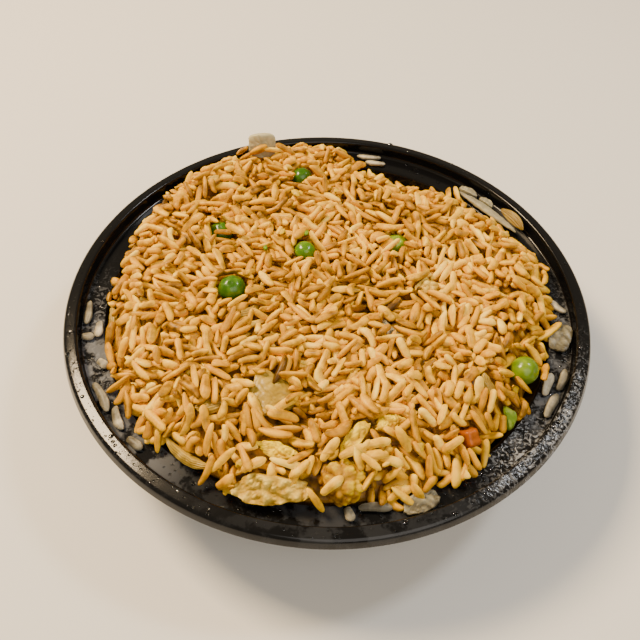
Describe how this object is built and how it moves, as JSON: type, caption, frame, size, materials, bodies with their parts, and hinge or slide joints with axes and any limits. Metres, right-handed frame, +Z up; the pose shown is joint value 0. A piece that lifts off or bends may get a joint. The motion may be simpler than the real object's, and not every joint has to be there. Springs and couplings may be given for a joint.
{
  "type": "fried rice bowl",
  "caption": "Round black take-out bowl with a ledge and rolled rim, heaped with fried rice, peas, carrot, scrambled egg and onion, with loose grains on the ledge.",
  "frame": {"origin": "middle of the bowl's flat base, on the surface it stands on", "axes": "+Z up, out of the bowl; -Y towards the camera of the picture; +X to the right"},
  "size_m": [0.184, 0.184, 0.0521],
  "materials": {
    "black_plastic": "thermoformed black polypropylene, glossy, with starch film and droplets",
    "rice": "cooked long grain rice fried in soy sauce, moist sheen",
    "rice_pale": "loose pale cooked grains, moist",
    "pea_green": "cooked pea skin, glossy",
    "pea_dark": "cooked pea skin, glossy",
    "pea_light": "cooked pea skin, glossy",
    "pea_skin": "torn pea skin",
    "egg_yellow": "scrambled egg yolk, folded, moist",
    "egg_pale": "scrambled egg white and yolk, folded",
    "carrot": "cooked carrot cube, moist",
    "onion": "fried onion, translucent and wet",
    "onion_clear": "softened onion, translucent and wet"
  },
  "bodies": {
    "root": {"bowl": "black_plastic", "rice": "rice", "pea_1": "pea_dark", "pea_2": "pea_green", "pea_3": "pea_dark", "pea_4": "pea_light", "pea_5": "pea_dark", "pea_6": "pea_light", "egg_clump": "egg_yellow", "egg_pale_flake": "egg_pale", "egg_strip": "egg_yellow", "egg_flake": "egg_yellow", "egg_cream_flake": "egg_pale", "egg_scrap": "egg_pale", "egg_fold": "egg_yellow", "carrot_wedge": "carrot", "pea_skin": "pea_skin", "onion_block": "onion_clear", "onion_round": "onion", "onion_crescent": "onion", "onion_strip_1": "onion_clear", "onion_strip_2": "onion", "onion_strip_3": "onion", "onion_strip_4": "onion", "onion_edge": "onion", "onion_back": "onion_clear", "onion_back_2": "onion", "onion_back_3": "onion_clear", "onion_back_4": "onion_clear", "onion_right": "onion_clear", "onion_front": "onion_clear", "grain_left_1": "rice_pale", "grain_left_2": "rice_pale", "grain_left_3": "rice_pale", "grain_left_4": "rice_pale", "grain_left_5": "rice_pale", "grain_left_6": "rice_pale", "grain_left_7": "rice_pale", "grain_front_1": "rice_pale", "grain_front_2": "rice_pale", "grain_right_1": "rice_pale", "grain_right_2": "rice_pale", "grain_right_3": "rice_pale", "grain_right_4": "rice_pale", "grain_back_1": "rice_pale", "grain_back_2": "rice_pale"}
  },
  "joints": []
}
